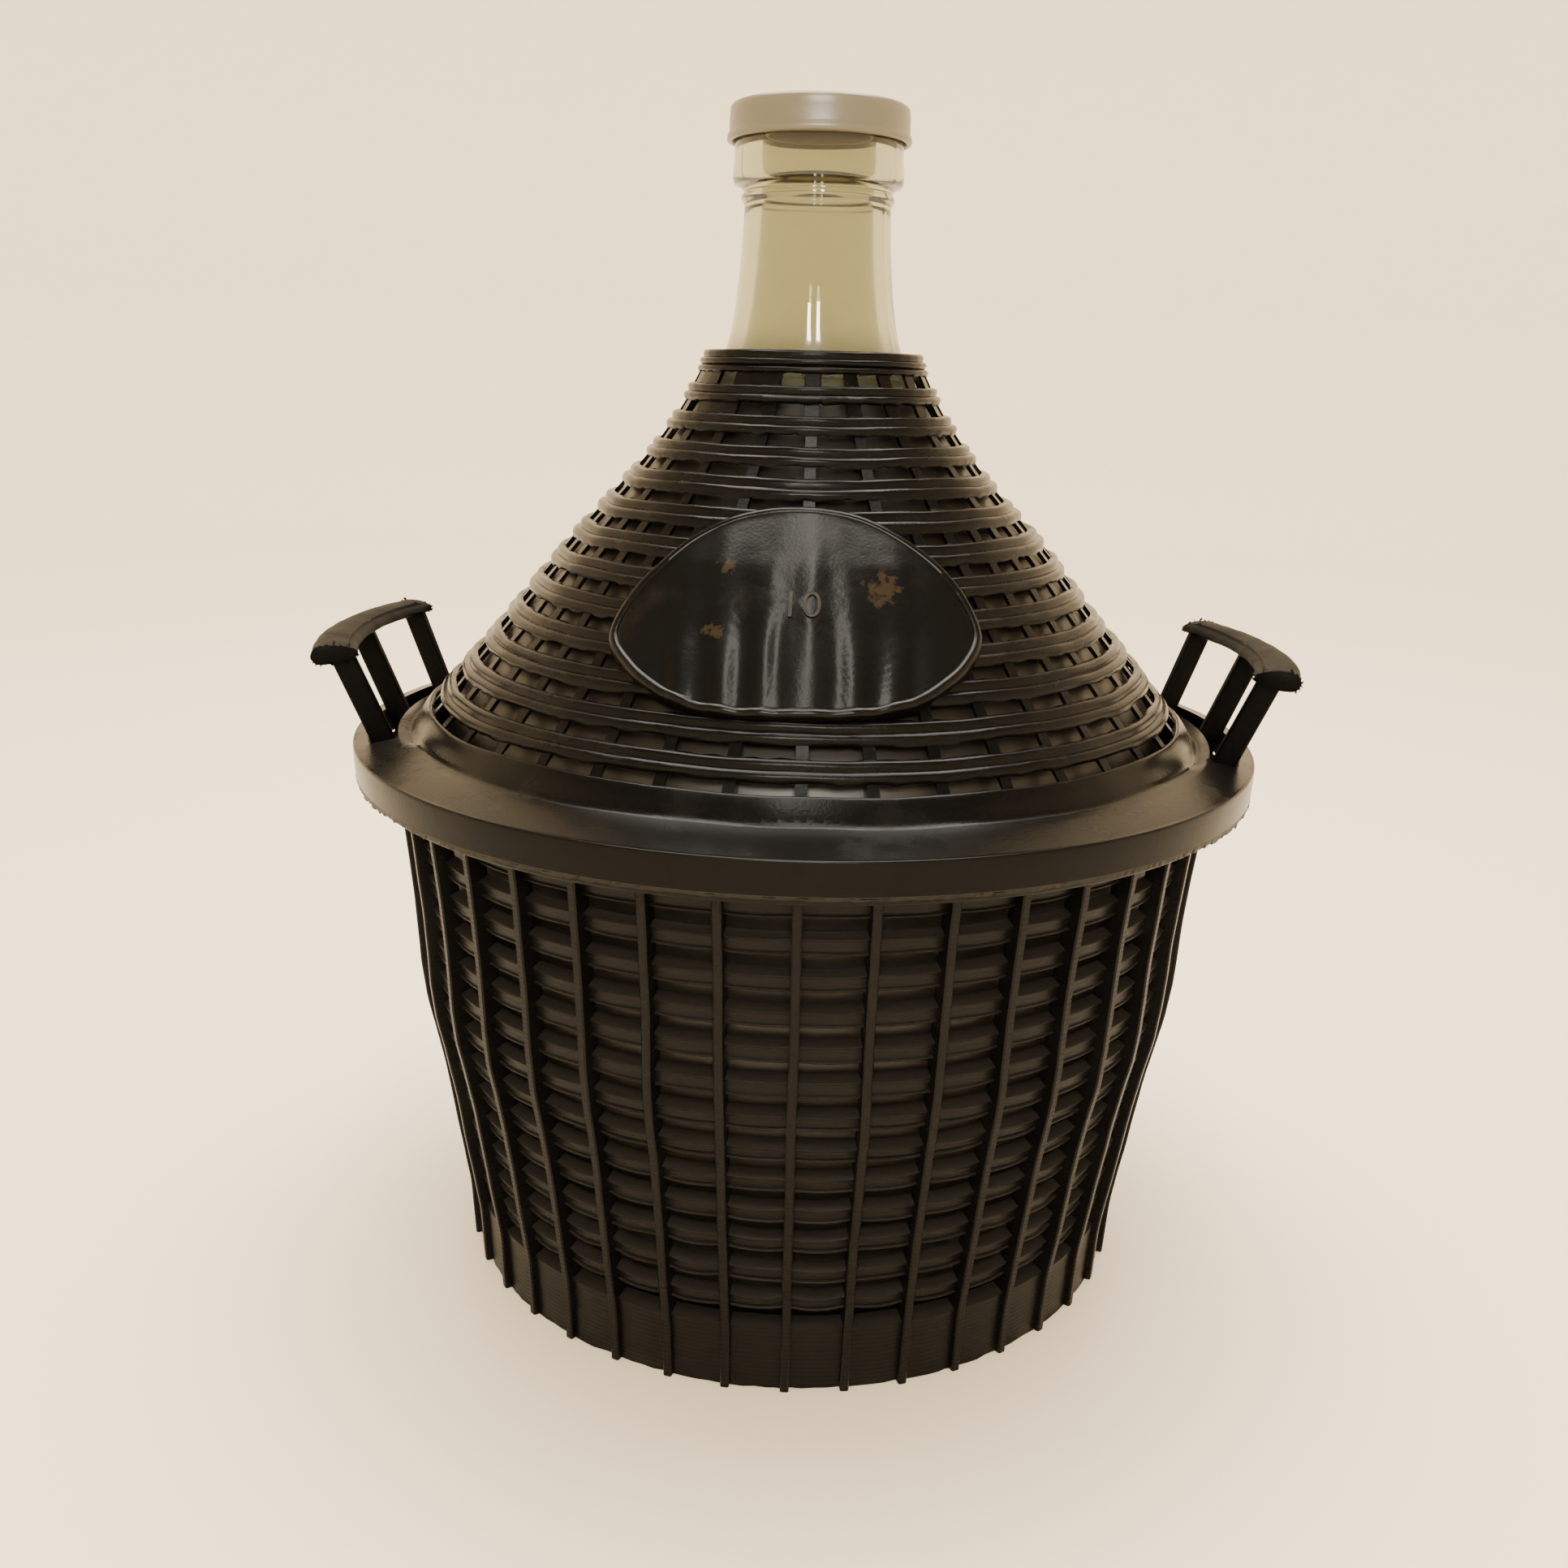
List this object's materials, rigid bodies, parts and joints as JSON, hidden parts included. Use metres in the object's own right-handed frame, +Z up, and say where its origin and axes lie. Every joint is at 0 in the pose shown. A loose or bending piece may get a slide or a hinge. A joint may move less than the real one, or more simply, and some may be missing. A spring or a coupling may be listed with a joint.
{
  "type": "glass demijohn in a moulded basket",
  "caption": "Glass demijohn loose in a moulded plastic basket with a conical ventilated cover, two carrying handles and a push-on cap.",
  "frame": {"origin": "on the floor under the middle of the basket", "axes": "+Z up along the bottle's axis, the label plate faces -Y, the handles are at +X and -X"},
  "size_m": [0.3336, 0.31, 0.3901],
  "materials": {
    "bottle_glass": "clear, pale olive tint",
    "cap_plastic": "translucent milky polyethylene",
    "cover_plastic": "semi-gloss, dusty",
    "basket_plastic": "satin, dusty"
  },
  "bodies": {
    "cage": {"basket": "basket_plastic", "cover": "cover_plastic", "right_handle": "basket_plastic", "left_handle": "basket_plastic"},
    "bottle": {"glass_demijohn": "bottle_glass"},
    "cap": {"snap_cap": "cap_plastic"}
  },
  "joints": [
    {"name": "glass_turn", "type": "hinge", "parent": "cage", "child": "bottle", "pos_m": [0, 0, 0], "axis": [0, 0, 1], "continuous": true},
    {"name": "cap_lift", "type": "slide", "parent": "bottle", "child": "cap", "axis": [0, 0, 1], "range_m": [0, 0.15]}
  ]
}
